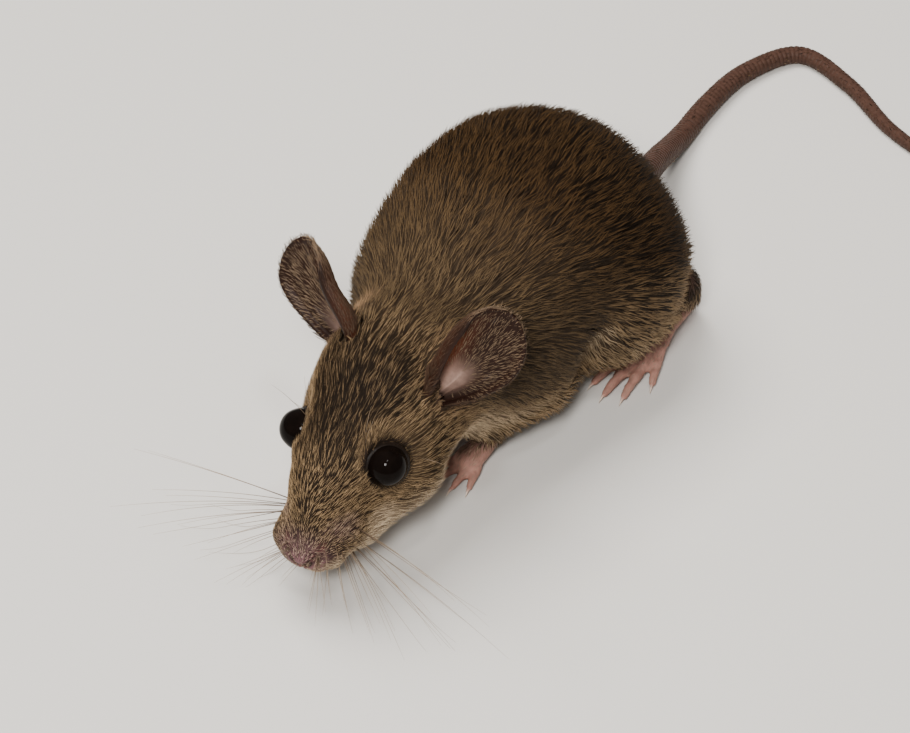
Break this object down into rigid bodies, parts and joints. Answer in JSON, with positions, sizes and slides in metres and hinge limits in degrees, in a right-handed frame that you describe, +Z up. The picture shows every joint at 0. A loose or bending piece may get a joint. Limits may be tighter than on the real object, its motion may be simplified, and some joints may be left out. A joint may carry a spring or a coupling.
{
  "type": "house mouse",
  "caption": "Life-size model of a live grey mouse, crouched with its head low, with a thick short coat, round thin ears, bare feet and a long tail laid on the floor.",
  "frame": {"origin": "on the floor, in the middle of the model's bounding box", "axes": "the mouse faces -Y with its tail towards +Y, its left side is +X, and +Z is up"},
  "size_m": [0.0448, 0.0912, 0.0277],
  "materials": {
    "coat": "dense short fur, each hair dark with a tan tip",
    "skin": "soft, slightly moist bare skin",
    "eye": "wet black gloss",
    "claw": "smooth translucent horn",
    "whisker": "fine stiff hair, pale at the tip"
  },
  "bodies": {
    "root": {"head": "coat", "neck": "coat", "trunk": "coat", "rump": "coat", "foreleg_left": "coat", "foreleg_right": "coat", "hindleg_left": "coat", "hindleg_right": "coat", "forefoot_left": "skin", "forefoot_right": "skin", "hindfoot_left": "skin", "hindfoot_right": "skin", "ear_left": "skin", "ear_right": "skin", "eye_left": "eye", "eye_right": "eye", "tail_root": "skin", "tail_middle": "skin", "tail_tip": "skin"}
  },
  "joints": []
}
